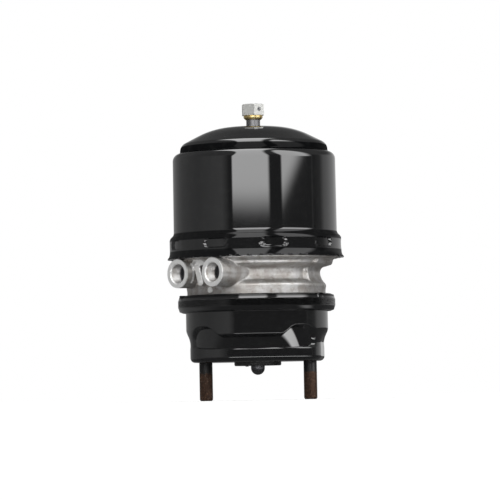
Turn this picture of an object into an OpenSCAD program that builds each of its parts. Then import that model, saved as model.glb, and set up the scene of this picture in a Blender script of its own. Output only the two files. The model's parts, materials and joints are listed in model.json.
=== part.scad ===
// Spring brake cylinder for a disc brake, caged: studs down, spring chamber up.
// Origin: centre of the mounting face. +Z runs along the cylinder towards the spring chamber,
// +X runs along the line of the two studs, and the ports face the front, -Y.

/* [Mounting] */
// Distance between the two mounting studs
stud_spacing = 120.65; // [112:0.05:124]
// Thread diameter of the studs
stud_d = 16; // [12:1:18]
// Length of the studs below the mounting face
stud_length = 44; // [30:1:60]
// Diameter of the round stud heads inside the foot
stud_head_d = 22; // [20:0.5:22.5]
// Height of the stud heads
stud_head_h = 6; // [4:0.5:8]
// Thickness of the reinforcement plate in the foot
base_plate_t = 4; // [3:0.5:5]
// Outer diameter of the rubber ring that seals on the caliper
seal_od = 54; // [50:1:60]
// Depth of that ring below the mounting face
seal_depth = 4.5; // [3:0.5:6]
// Diameter of the hole in the reinforcement plate for the push rod and its bellows
foot_hole_d = 42; // [38:1:44]

/* [Service chamber] */
// Sheet thickness of both steel housings
sheet_t = 3; // [2:0.25:3.5]
// Outer radius of the round part of the service housing
service_r = 81.7; // [80:0.1:82.5]
// Height of the service housing over the stroke, up to its rolled-out flange
service_room = 3.2; // [3:0.2:12]
// Distance from the axis of a stud to the side of the foot
foot_margin = 15; // [14.5:0.1:17]
// Half depth of the foot, front to back
foot_half_d = 63; // [60:0.5:70]
// Corner radius of the foot's outline
foot_corner_r = 40; // [30:1:45]
// Height of the band round the foot
band_h = 15.4; // [14:0.2:17]
// Depth of the groove above the band
band_groove = 3.2; // [1:0.2:5]
// Rise of the four arched dents above the ledge
dent_rise = 10.5; // [8:0.5:16]
// Extra depth of the dents
dent_depth = 4; // [1:0.5:6]

/* [Clamp] */
// Width of the clamp ring outside the service housing's wall
clamp_w = 11.8; // [11.5:0.1:14]
// Width of the ring's lips over the clamped flanges
clamp_lip = 6; // [5:0.1:6.5]
// Sheet thickness of the clamp ring
clamp_t = 3; // [2.5:0.25:3.25]
// Width and height of the ring's sloped shoulders
clamp_shoulder = 4.5; // [3.5:0.1:5]
// Thickness of the diaphragm's clamped bead
bead_t = 5.3; // [4:0.1:7]
// Thickness of the flange body's lower flange
lower_flange_t = 5.3; // [4:0.1:7]

/* [Flange body] */
// Height of the flange body's lower part, from its flange up to its waist
lower_h = 25; // [24:0.5:28]
// Height of its waist, up to the spring chamber's floor
waist_h = 24.5; // [22:0.5:30]
// Gap between its neck and the lip of the clamp ring
neck_gap = 4.9; // [3:0.1:6]
// Height of the bead round its lower part, over the neck
body_bead = 0.8; // [0.4:0.1:2]
// Depth of its waist, from the rim inside the skirt
waist_depth = 22; // [21:0.1:24]
// Height of the land between the two grooves of that rim
rim_land = 4.3; // [3:0.1:5]
// Direction of the ports, from the front towards -X, in degrees
port_turn = 39.5; // [20:0.5:60]
// Distance between the two port bosses
port_spacing = 57; // [50:0.5:62]
// Distance of the port faces from the axis
port_reach = 98; // [92:0.5:104]
// Outer diameter of the port bosses
port_boss_d = 33; // [30:0.5:33]
// Tapping diameter of the ports, for an M22 x 1.5 thread
port_bore_d = 20.4; // [16:0.1:22]
// Depth of the tapped part of the ports
port_depth = 15; // [12:0.5:20]
// Diameter of the plug under the ports
plug_d = 7; // [5:0.5:8]

/* [Spring chamber] */
// Outer radius of the spring housing's cylinder at its lower end
cylinder_r = 94; // [93.5:0.1:94.5]
// Amount by which the cylinder narrows towards the crown
draft = 0.35; // [0:0.05:0.6]
// Amount by which the skirt is wider than the cylinder
skirt_step = 4.9; // [4.9:0.1:5.5]
// Amount by which the crown above the shoulder is narrower than the cylinder
crown_step = 9; // [8:0.5:12]
// Number of locking dimples in the skirt
dimple_count = 9; // [6:1:12]
// Length of a dimple round the skirt
dimple_l = 28.5; // [24:0.5:34]
// Height of a dimple
dimple_h = 10; // [8:0.5:10.5]
// Depth of a dimple
dimple_depth = 2.2; // [1:0.1:2.2]
// Height of the crown over the turns of the caged spring
crown_room = 33.3; // [32:0.1:50]
// Stroke of the piston and the push rod
stroke = 57; // [50:1:58]

/* [Power spring] */
// Wire diameter of the power spring
power_wire_d = 12.5; // [9:0.5:13]
// Number of turns of the power spring
power_turns = 4.25; // [3:0.25:4.5]
// Gap between its widest turn and the cylinder
power_gap = 13.4; // [8:0.1:15]
// Amount by which its middle turns are wider
power_barrel = 9; // [0:0.5:12]

/* [Piston] */
// Gap between the piston and the narrow end of the cylinder
piston_gap = 0.45; // [0.4:0.05:1]
// Height of the piston's rim above its guide band
piston_lip = 2; // [1:0.5:4]
// Outer diameter of the piston tube
tube_d = 40; // [38:0.5:42]
// Wall of the piston tube
tube_t = 4; // [3:0.25:4.5]

/* [Push rod] */
// Diameter of the push rod and of its ball end
rod_d = 16; // [14:0.5:18]
// Distance of the rod's tip below the mounting face, with the rod in
rod_out = 15; // [10:0.5:30]
// Radius of the pressure plate
plate_r = 46; // [40:0.5:50]
// Wire diameter of the return spring
return_wire_d = 4.5; // [3:0.25:5]
// Number of turns of the return spring
return_turns = 4.75; // [4:0.25:6]

/* [Release screw] */
// Diameter of the release spindle
spindle_d = 16; // [14:0.5:17]
// Width across the flats of the release nut
hex_af = 24; // [22:0.5:27]
// Height of the release nut
hex_h = 13; // [10:0.5:16]
// Height of the collar under the release nut
collar_h = 5; // [3:0.5:7]
// Length of the shank between the crown and that collar
shank_h = 8.6; // [3:0.2:20]
// Height of the travelling nut
travel_nut_h = 20; // [14:0.5:22]

/* [Hidden] */
$fn = 96;

// Clearances
fit_gap = 0.3;
run_gap = 0.05;
face_gap = 0.1;
through = 1;

// Colours
black_paint = [0.05, 0.05, 0.055];
cast_metal = [0.72, 0.73, 0.74];
zinc = [0.85, 0.86, 0.86];
yellow_zinc = [0.78, 0.66, 0.36];
steel = [0.55, 0.56, 0.58];
rusty = [0.36, 0.25, 0.19];
rubber = [0.08, 0.08, 0.08];
plastic = [0.75, 0.72, 0.62];

// Heights of the joints between the pieces, from the mounting face up
clamp_z = stroke + service_room;
bead_z = clamp_z + sheet_t;
body_z = bead_z + bead_t;
ring_z = body_z + lower_flange_t;
waist_z = body_z + lower_h;
floor_z = waist_z + waist_h;
lip_z = floor_z + 0.7;
piston_z = floor_z + 1 + stroke;
seat_h = 8;
seat_z = piston_z + seat_h;
crown_z = seat_z + power_turns * power_wire_d + crown_room;

// Radii of the pieces that fit in each other
top_r = cylinder_r - draft;
skirt_r = cylinder_r + skirt_step;
crown_r = cylinder_r - crown_step;
piston_r = top_r - sheet_t - piston_gap;
power_end_r = top_r - sheet_t - power_gap - power_wire_d / 2 - power_barrel;
rim_r = skirt_r - sheet_t - fit_gap;
clamp_r = service_r + clamp_w;
neck_r = clamp_r - clamp_t - clamp_lip - neck_gap;
body_bead_r = neck_r + body_bead;
waist_r = min(rim_r - waist_depth, neck_r - 4);
tube_bore_d = tube_d - 2 * tube_t;
foot_half_w = stud_spacing / 2 + foot_margin;

// Grooves of the flange body's rim: one for the seal, one for the locking dimples
o_groove_z = floor_z + 3.5;
o_groove_h = 3;
lock_groove_z = o_groove_z + o_groove_h + rim_land;
lock_groove_h = dimple_h + 1.4;
rim_top_z = lock_groove_z + lock_groove_h + 3.8;
dimple_z = lock_groove_z + lock_groove_h / 2;

// The clamped flanges, with edges that follow the shoulders of the ring
clamp_bend_r = 2;
clamp_bend_run = clamp_bend_r * tan(22.5);
flange_r = clamp_r - clamp_t - fit_gap;
flange_chamfer = clamp_shoulder - clamp_t * (2 - sqrt(2));

// A round stretch of an outline, from angle a0 to a1
function arc(c, r, a0, a1, n) =
    [for (i = [0:n]) let (a = a0 + (a1 - a0) * i / n) c + r * [cos(a), sin(a)]];

// The same outline points in the other order
function back(points) = [for (i = [len(points) - 1:-1:0]) points[i]];

function smooth(x) = let (u = max(0, min(1, x))) u * u * (3 - 2 * u);

// Spring housing
lip_bend_r = 14;
lip_bend_z = lip_z + 8.3;
flare_h = 10;
flare_z = rim_top_z - 4.3;
flare_turn = 2 * atan(skirt_step / flare_h);
flare_r = flare_h / (2 * sin(flare_turn));
knee_r = 8.95;
knee_turn = 75;
knee_z = crown_z - 38.4;
notch_r = (top_r - knee_r * (1 - cos(knee_turn)) - crown_r) / (1 - cos(knee_turn));
notch_z = knee_z + (knee_r + notch_r) * sin(knee_turn);
crown_slope = 27;
crown_flat_r = 23;
crown_bend_r = 90;
corner_r = 10.4;
cone_r = crown_flat_r + crown_bend_r * sin(crown_slope);
cone_z = crown_z - crown_bend_r * (1 - cos(crown_slope));
corner_x = crown_r - corner_r;
corner_z = cone_z - corner_r * cos(crown_slope)
    - (corner_x + corner_r * sin(crown_slope) - cone_r) * tan(crown_slope);
crown_hole_r = spindle_d / 2 + 0.6;

// One side of the housing's sheet, d inside its outer face, from the lip to the crown
function housing_line(d) = concat(
    arc([skirt_r + lip_bend_r, lip_bend_z], lip_bend_r + d,
        180 + asin((lip_bend_z - lip_z) / (lip_bend_r + d)), 180, 5),
    arc([skirt_r - flare_r, flare_z], flare_r - d, 0, flare_turn, 5),
    arc([cylinder_r + flare_r, flare_z + flare_h], flare_r + d, 180 + flare_turn, 180, 5),
    arc([top_r - knee_r, knee_z], knee_r - d, 0, knee_turn, 6),
    arc([crown_r + notch_r, notch_z], notch_r + d, 180 + knee_turn, 180, 4),
    arc([corner_x, corner_z], corner_r - d, 0, 90 - crown_slope, 5),
    arc([crown_flat_r, crown_z - crown_bend_r], crown_bend_r - d, 90 - crown_slope, 90, 7),
    [[crown_hole_r, crown_z - d]]
);

dimple_turn = 18.2;

module oblong(length, height) {
    square([length - height, height], center = true);
    for (side = [-1, 1]) {
        translate([side * (length - height) / 2, 0]) circle(d = height);
    }
}

// Oblong bars that stand in the skirt, from radius r0 to r1
module dimple_bars(r0, r1, grow) {
    for (i = [0:dimple_count - 1]) {
        rotate(dimple_turn + i * 360 / dimple_count)
            translate([0, -r0, dimple_z])
                rotate([90, 0, 0])
                    linear_extrude(r1 - r0) oblong(dimple_l + grow, dimple_h + grow);
    }
}

module spring_housing() {
    dimple_floor = skirt_r - dimple_depth;
    color(black_paint) difference() {
        union() {
            rotate_extrude()
                polygon(concat(housing_line(0), back(housing_line(sheet_t))));
            dimple_bars(dimple_floor - sheet_t, dimple_floor - sheet_t / 4, 0);
        }
        dimple_bars(dimple_floor, skirt_r + through, 0);
    }
}

// Release screw
bush_r = 18;
bush_h = 12;
bush_top_z = crown_z - sheet_t;
bush_z = bush_top_z - bush_h;
washer_t = 2.4;
thrust_r = 13;
thrust_h = 3.6;
thrust_z = bush_z - washer_t - 2 * face_gap - thrust_h;
collar_z = crown_z + shank_h;
hex_z = collar_z + collar_h;
hex_top_z = hex_z + hex_h;
spindle_end_z = floor_z + 3;
bush_groove_h = 3;
bush_groove_r = spindle_d / 2 + 2.8;
bush_groove_z = bush_z + bush_h / 2;

module ring(r_out, r_in, z, height) {
    translate([0, 0, z]) difference() {
        cylinder(r = r_out, h = height);
        translate([0, 0, -through]) cylinder(r = r_in, h = height + 2 * through);
    }
}

module spindle_bush() {
    color(steel) difference() {
        ring(bush_r, spindle_d / 2 + run_gap, bush_z, bush_h);
        ring(bush_groove_r, spindle_d / 4, bush_groove_z - bush_groove_h / 2, bush_groove_h);
    }
}

module bush_seal() {
    cord_r = (bush_groove_r - spindle_d / 2 - 2 * run_gap) / 2;
    color(rubber) translate([0, 0, bush_groove_z])
        rotate_extrude()
            translate([bush_groove_r - cord_r - run_gap, 0]) circle(r = cord_r, $fn = 24);
}

hex_turn = 12;
pin_r = 2.5;
pin_z = hex_z + hex_h * 0.52;

module release_spindle() {
    end_chamfer = 1.5;
    r = spindle_d / 2;
    color(steel) difference() {
        rotate_extrude() polygon([
            [0, spindle_end_z],
            [r - end_chamfer, spindle_end_z],
            [r, spindle_end_z + end_chamfer],
            [r, thrust_z],
            [thrust_r, thrust_z],
            [thrust_r, thrust_z + thrust_h],
            [r, thrust_z + thrust_h],
            [r, hex_top_z - 1 - end_chamfer],
            [r - end_chamfer, hex_top_z - 1],
            [0, hex_top_z - 1]
        ]);
        nut_pin_hole();
    }
}

module thrust_washer() {
    color(steel)
        ring(thrust_r + 2, spindle_d / 2 + fit_gap, thrust_z + thrust_h + face_gap, washer_t);
}

module nut_collar() {
    collar_r = hex_af / 2 - 1;
    foot_r = spindle_d / 2 + 1.2;
    color(yellow_zinc) rotate_extrude() polygon([
        [spindle_d / 2, collar_z],
        [foot_r, collar_z],
        [collar_r, collar_z + collar_h * 0.45],
        [collar_r, hex_z],
        [spindle_d / 2, hex_z]
    ]);
}

// The pin lies across two flats of the hexagon
module nut_pin_axis() {
    rotate(hex_turn + 30) translate([0, 0, pin_z]) rotate([90, 0, 0]) children();
}

module nut_pin_hole() {
    nut_pin_axis() cylinder(r = pin_r, h = hex_af + 2 * through, center = true);
}

module release_nut() {
    top_chamfer = 1.6;
    corner_d = hex_af / cos(30);
    color(zinc) difference() {
        intersection() {
            rotate(hex_turn - 90) translate([0, 0, hex_z])
                linear_extrude(hex_h) circle(d = corner_d, $fn = 6);
            rotate_extrude() polygon([
                [0, hex_z - through],
                [corner_d / 2 + through, hex_z - through],
                [corner_d / 2 + through, hex_top_z - top_chamfer],
                [corner_d / 2 - 3 * top_chamfer / 2, hex_top_z],
                [0, hex_top_z]
            ]);
        }
        translate([0, 0, hex_z - through]) cylinder(d = spindle_d, h = hex_h + 2 * through);
        nut_pin_hole();
    }
}

// Coiled spring pin: a strip rolled up, with a hollow middle
module nut_pin() {
    color(steel) nut_pin_axis() difference() {
        cylinder(r = pin_r, h = hex_af - 1, center = true);
        cylinder(r = pin_r * 0.35, h = hex_af + through, center = true);
    }
}

// Piston and its tube
hub_r = 28;
hub_h = 29;
hub_top_z = piston_z + hub_h;
collar_t = 6;
tube_top_z = hub_top_z - collar_t;
ring_pocket_r = tube_d / 2 + 4;
ring_pocket_h = 3;
tube_end_z = floor_z - 32;
pad_t = 3;
key_w = 6;
key_h = 1.5;
seal_groove_z = piston_z + 2;
seal_groove_h = 4;
seal_groove_r = piston_r - 5;
guide_groove_z = piston_z + 9;
guide_groove_h = 3;
guide_groove_r = piston_r - 2;
piston_top_z = guide_groove_z + guide_groove_h + piston_lip;
locator_r = power_end_r - power_wire_d / 2 - 1;

module piston() {
    web_t = 5;
    rim_w = 8;
    color(cast_metal) rotate_extrude() polygon([
        [ring_pocket_r, piston_z],
        [hub_r, piston_z],
        [hub_r + 2, seat_z - web_t],
        [piston_r - rim_w, seat_z - web_t],
        [piston_r - rim_w, piston_z + 1],
        [piston_r - rim_w + 1, piston_z],
        [piston_r, piston_z],
        [piston_r, seal_groove_z],
        [seal_groove_r, seal_groove_z],
        [seal_groove_r, seal_groove_z + seal_groove_h],
        [piston_r, seal_groove_z + seal_groove_h],
        [piston_r, guide_groove_z],
        [guide_groove_r, guide_groove_z],
        [guide_groove_r, guide_groove_z + guide_groove_h],
        [piston_r, guide_groove_z + guide_groove_h],
        [piston_r - 1, piston_top_z],
        [piston_r - rim_w + 3, piston_top_z],
        [piston_r - rim_w, seat_z],
        [locator_r, seat_z],
        [locator_r - 1, seat_z + 4],
        [locator_r - 4, seat_z + 4],
        [locator_r - 6, seat_z],
        [hub_r + 3, seat_z],
        [hub_r, seat_z + 3],
        [hub_r - 1, hub_top_z],
        [spindle_d / 2 + 1, hub_top_z],
        [spindle_d / 2 + 1, tube_top_z],
        [tube_d / 2, tube_top_z],
        [tube_d / 2, piston_z + ring_pocket_h],
        [ring_pocket_r, piston_z + ring_pocket_h]
    ]);
}

// Lip seal with its lip turned to the air side
module piston_seal() {
    lip_r = piston_r + 0.3;
    color(rubber) rotate_extrude() polygon([
        [seal_groove_r, seal_groove_z],
        [piston_r - 2, seal_groove_z],
        [lip_r, seal_groove_z + 0.2],
        [lip_r, seal_groove_z + 1],
        [piston_r - 1, seal_groove_z + seal_groove_h],
        [seal_groove_r, seal_groove_z + seal_groove_h]
    ]);
}

module piston_guide() {
    color(plastic) ring(piston_r + 0.2, guide_groove_r, guide_groove_z, guide_groove_h);
}

module key_bars(width, r, z, height) {
    translate([-width / 2, -r, z]) cube([width, 2 * r, height]);
}

module piston_tube() {
    tube_groove_h = 2.2;
    color(steel) difference() {
        ring(tube_d / 2, tube_bore_d / 2, tube_end_z, tube_top_z - tube_end_z);
        key_bars(key_w, tube_bore_d / 2 + key_h, spindle_end_z, tube_top_z);
        ring(tube_d, tube_d / 2 - 1, piston_z + (ring_pocket_h - tube_groove_h) / 2,
            tube_groove_h);
    }
}

module tube_pad() {
    spigot_h = 4;
    color(plastic) {
        translate([0, 0, tube_end_z - pad_t]) cylinder(d = tube_d, h = pad_t);
        translate([0, 0, tube_end_z]) cylinder(d = tube_bore_d, h = spigot_h);
    }
}

module tube_ring() {
    ring_t = 2;
    opening = 24;
    color(steel) rotate(90 + opening / 2) rotate_extrude(angle = 360 - opening)
        translate([tube_d / 2 - 1, piston_z + (ring_pocket_h - ring_t) / 2])
            square([ring_pocket_r - tube_d / 2, ring_t]);
}

// The nut is pushed up against the collar in the piston's hub when the brake is caged
module travel_nut() {
    nut_top_z = tube_top_z - face_gap;
    nut_r = tube_bore_d / 2 - fit_gap;
    color(steel) difference() {
        union() {
            translate([0, 0, nut_top_z - travel_nut_h]) cylinder(r = nut_r, h = travel_nut_h);
            intersection() {
                key_bars(key_w - 2 * fit_gap, nut_r + key_h, nut_top_z - travel_nut_h,
                    travel_nut_h);
                translate([0, 0, nut_top_z - travel_nut_h])
                    cylinder(r = nut_r + key_h, h = travel_nut_h);
            }
        }
        translate([0, 0, nut_top_z - travel_nut_h - through])
            cylinder(r = spindle_d / 2 + run_gap, h = travel_nut_h + 2 * through);
    }
}

// A wire bent round the axis: its centre goes through the points, which stand at the angles
module coil(points, angles, wire_r, sides) {
    rings = len(points);
    corners = [
        for (i = [0:rings - 1])
            for (k = [0:sides - 1])
                let (
                    a = angles[i],
                    b = 360 * k / sides,
                    p = points[i],
                    r = p[0] + wire_r * cos(b)
                )
                [r * cos(a), r * sin(a), p[1] + wire_r * sin(b)]
    ];
    walls = [
        for (i = [0:rings - 2])
            for (k = [0:sides - 1])
                let (m = (k + 1) % sides)
                each [
                    [i * sides + k, (i + 1) * sides + k, (i + 1) * sides + m],
                    [i * sides + k, (i + 1) * sides + m, i * sides + m]
                ]
    ];
    ends = [
        [for (k = [0:sides - 1]) k],
        [for (k = [sides - 1:-1:0]) (rings - 1) * sides + k]
    ];
    polyhedron(points = corners, faces = concat(walls, ends), convexity = 10);
}

coil_steps = 22;

module power_spring() {
    wire_r = power_wire_d / 2;
    low_z = seat_z + wire_r + face_gap;
    roof_z = cone_z - sheet_t / cos(crown_slope)
        - (power_end_r - cone_r) * tan(crown_slope);
    high_z = roof_z - wire_r / cos(crown_slope) - fit_gap;
    steps = ceil(power_turns * coil_steps);
    line = [
        for (i = [0:steps])
            let (u = i / steps)
            [power_end_r + power_barrel * sin(180 * u), low_z + (high_z - low_z) * u]
    ];
    color(steel)
        coil(line, [for (i = [0:steps]) 360 * power_turns * i / steps], wire_r, 10);
}

// Flange body
rim_bore_r = piston_r + 1;
o_groove_r = rim_r - 2.2;
lock_groove_r = skirt_r - dimple_depth - sheet_t - fit_gap;
cavity_r = neck_r - 5.6;
cavity_mouth_r = neck_r - 1.6;
roof_z = floor_z - 26;
pocket_floor_z = floor_z - 20;
pocket_r = waist_r - 7.6;
hub_wall_r = tube_d / 2 + 12;
hub_end_z = floor_z - 30;
bush_seat_z = floor_z - 3;
bush_bore_r = tube_d / 2 + 4;
mouth_r = tube_d / 2 + 0.6;
clip_groove_z = hub_end_z + 1.5;
clip_t = 1.5;
bead_bend_r = 4;
cove_r = 7;
cove_z = floor_z - 16.7;
port_z = floor_z - 16.5;

function body_line() = concat(
    [
        [cavity_mouth_r, body_z],
        [flange_r, body_z],
        [flange_r, ring_z - flange_chamfer],
        [flange_r - flange_chamfer, ring_z],
        [neck_r, ring_z],
        [neck_r, waist_z - 12]
    ],
    arc([body_bead_r - bead_bend_r, waist_z - 7.5], bead_bend_r, 0, 60, 4),
    [[waist_r + 2, waist_z], [waist_r + 0.4, floor_z - 20]],
    arc([waist_r + cove_r, cove_z], cove_r, 180, 90, 6),
    arc([rim_r - 10, cove_z + cove_r + 4], 2.5, 270, 350, 3),
    [
        [rim_r - 6.7, floor_z - 2.5],
        [rim_r - 5.5, floor_z - 1],
        [rim_r, floor_z - 0.5],
        [rim_r, o_groove_z],
        [o_groove_r, o_groove_z],
        [o_groove_r, o_groove_z + o_groove_h],
        [rim_r, o_groove_z + o_groove_h],
        [rim_r, lock_groove_z],
        [lock_groove_r, lock_groove_z],
        [lock_groove_r, lock_groove_z + lock_groove_h],
        [rim_r - 0.6, lock_groove_z + lock_groove_h],
        [rim_bore_r + 1.8, rim_top_z],
        [rim_bore_r, rim_top_z],
        [rim_bore_r, floor_z],
        [pocket_r, floor_z],
        [pocket_r - 1, pocket_floor_z + 3],
        [pocket_r - 4, pocket_floor_z],
        [hub_wall_r + 3, pocket_floor_z],
        [hub_wall_r + 1, pocket_floor_z + 3],
        [hub_wall_r, floor_z],
        [mouth_r, floor_z],
        [mouth_r, bush_seat_z],
        [bush_bore_r, bush_seat_z],
        [bush_bore_r, clip_groove_z + clip_t],
        [bush_bore_r + 1.5, clip_groove_z + clip_t],
        [bush_bore_r + 1.5, clip_groove_z],
        [bush_bore_r, clip_groove_z],
        [bush_bore_r, hub_end_z],
        [hub_wall_r - 1, hub_end_z],
        [hub_wall_r, roof_z],
        [cavity_r - 5, roof_z],
        [cavity_r, roof_z - 5],
        [cavity_r, body_z + 5]
    ]
);

// Things that point the way of the ports: x across them, y outwards, z up from their axis
module port_frame(side) {
    rotate(-port_turn) translate([side * port_spacing / 2, 0, port_z])
        rotate([90, 0, 0]) children();
}

// Ribs on the floor of the spring chamber side
module body_ribs() {
    rib_t = 5;
    rib_count = 8;
    for (i = [0:rib_count - 1]) {
        rotate(i * 360 / rib_count)
            translate([hub_wall_r - 1, -rib_t / 2, pocket_floor_z - 1])
                cube([pocket_r - hub_wall_r + 1, rib_t, floor_z - 2 - pocket_floor_z]);
    }
}

// Raised pad between the ports, and the web that carries it
module port_web() {
    pad_l = 30;
    pad_w = 9;
    pad_tilt = 17;
    pad_h = 8;
    web_reach = waist_r + 4;
    web_low_z = port_z - 10;
    rotate(-port_turn) {
        translate([-port_spacing / 2, -web_reach, web_low_z])
            cube([port_spacing, web_reach - waist_r + 12, floor_z - 4 - web_low_z]);
        translate([-1, -web_reach + 1, port_z])
            rotate([90, 0, 0])
                rotate(90 + pad_tilt)
                    linear_extrude(pad_h) oblong(pad_l, pad_w);
    }
}

// Upright rib at the end of the waist's pocket
module waist_rib() {
    rib_t = 4;
    rotate(59 - 90) translate([0, rib_t / 2, 0]) rotate([90, 0, 0])
        linear_extrude(rib_t) polygon([
            [waist_r - 4, port_z - 10],
            [waist_r + 2.5, port_z - 10],
            [waist_r + 2.5, port_z + 3],
            [waist_r + 13, floor_z - 1],
            [waist_r - 4, floor_z - 1]
        ]);
}

// Shallow pocket in the waist, from the right port to the rib
module waist_pocket() {
    pocket_depth = 3;
    pocket_start = -24;
    pocket_end = 56;
    rotate(pocket_start - 90) rotate_extrude(angle = pocket_end - pocket_start) polygon([
        [waist_r - pocket_depth, port_z - 9.5],
        [waist_r + 4, port_z - 10.5],
        [waist_r + 4, port_z + 4],
        [waist_r - pocket_depth + 1, port_z + 6],
        [waist_r - pocket_depth, port_z + 4]
    ]);
}

module port_bores() {
    chamfer = 1.5;
    passage_r = 4;
    passage_end = 36;
    bore_r = port_bore_d / 2;
    for (side = [-1, 1]) {
        port_frame(side) {
            translate([0, 0, port_reach - port_depth])
                cylinder(r = bore_r, h = port_depth + through);
            translate([0, 0, port_reach - chamfer])
                cylinder(r1 = bore_r, r2 = bore_r + chamfer + 0.1, h = chamfer + 0.1);
            translate([0, 0, port_reach - passage_end])
                cylinder(r = passage_r, h = passage_end - port_depth + through);
        }
        rotate(-port_turn)
            translate([side * port_spacing / 2, -port_reach + passage_end + passage_r / 2, 0])
                translate([0, 0, side > 0 ? roof_z - 10 : port_z])
                    cylinder(r = passage_r, h = side > 0 ? port_z - roof_z + 10 : floor_z);
    }
}

plug_turn = 35;
plug_z = floor_z - 36;

module plug_axis(r) {
    rotate(-plug_turn) translate([0, -r, plug_z]) rotate([90, 0, 0]) children();
}

module flange_body() {
    color(cast_metal) difference() {
        union() {
            difference() {
                rotate_extrude() polygon(body_line());
                waist_pocket();
            }
            body_ribs();
            waist_rib();
            intersection() {
                union() {
                    for (side = [-1, 1]) {
                        port_frame(side) translate([0, 0, waist_r - 24])
                            cylinder(d = port_boss_d, h = port_reach - waist_r + 24);
                    }
                    port_web();
                }
                translate([0, 0, roof_z - 8]) cylinder(r = 2 * port_reach, h = 34);
            }
        }
        port_bores();
        plug_axis(cavity_r - 3) cylinder(d = plug_d, h = 20);
    }
}

module passage_plug() {
    color(zinc) plug_axis(cavity_r + 1)
        cylinder(d = plug_d, h = body_bead_r - cavity_r - 0.4);
}

tube_bush_h = 18;

module tube_bush() {
    color(plastic)
        ring(bush_bore_r, tube_d / 2 + run_gap, bush_seat_z - tube_bush_h, tube_bush_h);
}

module tube_seal() {
    seal_h = bush_seat_z - tube_bush_h - clip_groove_z - clip_t;
    color(rubber)
        ring(bush_bore_r, tube_d / 2 + face_gap, clip_groove_z + clip_t, seal_h);
}

module bush_clip() {
    opening = 30;
    color(steel) rotate(-opening / 2) rotate_extrude(angle = 360 - opening)
        translate([tube_d / 2 + 1.5, clip_groove_z])
            square([bush_bore_r - tube_d / 2, clip_t]);
}

module housing_seal() {
    cord_r = (skirt_r - sheet_t - o_groove_r - 2 * run_gap) / 2;
    color(rubber) translate([0, 0, o_groove_z + o_groove_h / 2])
        rotate_extrude()
            translate([o_groove_r + cord_r + run_gap, 0]) circle(r = cord_r, $fn = 24);
}

// Service chamber
membrane_t = 3.2;
membrane_z = tube_end_z - pad_t - fit_gap - membrane_t;
plate_z = membrane_z - fit_gap;
plate_t = 5;
plate_under_z = plate_z - plate_t;
membrane_r = cavity_r - 1.5;

module diaphragm() {
    bend_r = 7;
    bead_in_r = cavity_mouth_r - 1;
    color(rubber) rotate_extrude() polygon(concat(
        [[0, membrane_z]],
        arc([membrane_r - bend_r, membrane_z - bend_r + membrane_t], bend_r - membrane_t,
            90, 0, 4),
        [
            [membrane_r - membrane_t, bead_z + 3],
            [membrane_r - membrane_t + 1, bead_z],
            [flange_r, bead_z],
            [flange_r, body_z],
            [bead_in_r, body_z],
            [membrane_r, body_z + 2]
        ],
        arc([membrane_r - bend_r, membrane_z - bend_r + membrane_t], bend_r, 0, 90, 4),
        [[0, membrane_z + membrane_t]]
    ));
}

rod_neck_r = 6;

module pressure_plate() {
    color(steel) rotate_extrude() polygon([
        [rod_neck_r, plate_under_z],
        [plate_r - 6, plate_under_z],
        [plate_r, plate_under_z + 2.5],
        [plate_r, plate_z - 1.5],
        [plate_r - 1.5, plate_z],
        [rod_neck_r, plate_z]
    ]);
}

module push_rod() {
    r = rod_d / 2;
    color(steel) rotate_extrude() polygon(concat(
        [[0, plate_z], [rod_neck_r, plate_z], [rod_neck_r, plate_under_z]],
        [[r, plate_under_z]],
        arc([0, -rod_out + r], r, 0, -90, 12)
    ));
}

// Conical spring: each turn fits inside the next when it is pressed flat
module return_spring() {
    wire_r = return_wire_d / 2;
    head_gap = 3;
    low_r = stud_spacing / 2 - stud_head_d / 2 - head_gap - wire_r;
    high_r = 22.5;
    low_z = sheet_t + base_plate_t + wire_r + face_gap;
    high_z = plate_under_z - wire_r - face_gap;
    steps = ceil(return_turns * coil_steps);
    line = [
        for (i = [0:steps])
            let (u = i / steps)
            [low_r + (high_r - low_r) * u, low_z + (high_z - low_z) * u]
    ];
    color(steel)
        coil(line, [for (i = [0:steps]) 360 * return_turns * i / steps], wire_r, 8);
}

// Clamp ring: a rolled channel round the three clamped flanges, with relief notches
clamp_notches = [-69, 60, 175];

module clamp_ring() {
    low = clamp_z - clamp_t;
    high = ring_z + clamp_t;
    inner_r = clamp_r - clamp_t;
    lip_r = inner_r - clamp_lip;
    shoulder_r = clamp_r - clamp_shoulder - clamp_bend_run;
    shoulder_h = clamp_shoulder + clamp_bend_run;
    notch_w = 8;
    color(black_paint) difference() {
        rotate_extrude() polygon(concat(
            [[lip_r, low]],
            arc([shoulder_r, low + clamp_bend_r], clamp_bend_r, -90, -45, 2),
            arc([clamp_r - clamp_bend_r, low + shoulder_h], clamp_bend_r, -45, 0, 2),
            arc([clamp_r - clamp_bend_r, high - shoulder_h], clamp_bend_r, 0, 45, 2),
            arc([shoulder_r, high - clamp_bend_r], clamp_bend_r, 45, 90, 2),
            [
                [lip_r, high],
                [lip_r, ring_z],
                [inner_r - flange_chamfer, ring_z],
                [inner_r, ring_z - flange_chamfer],
                [inner_r, clamp_z + flange_chamfer],
                [inner_r - flange_chamfer, clamp_z],
                [lip_r, clamp_z]
            ]
        ));
        for (a = clamp_notches) {
            rotate(a) translate([-notch_w / 2, -clamp_r - through, low - through])
                cube([notch_w, 9, through + clamp_t + 1]);
        }
    }
}

// Service housing: a round pot above, a rounded rectangle at the foot,
// a groove between them, and an arched dent over each corner of the foot
foot_edge_r = 5.5;
ledge_low_z = band_h + 8.6;
ledge_high_z = band_h + 16.1;
side_low_z = band_h + 4.6;
side_high_z = band_h + 22.6;
dent_half_angle = 18.5;
dent_lead = 7;

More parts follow.
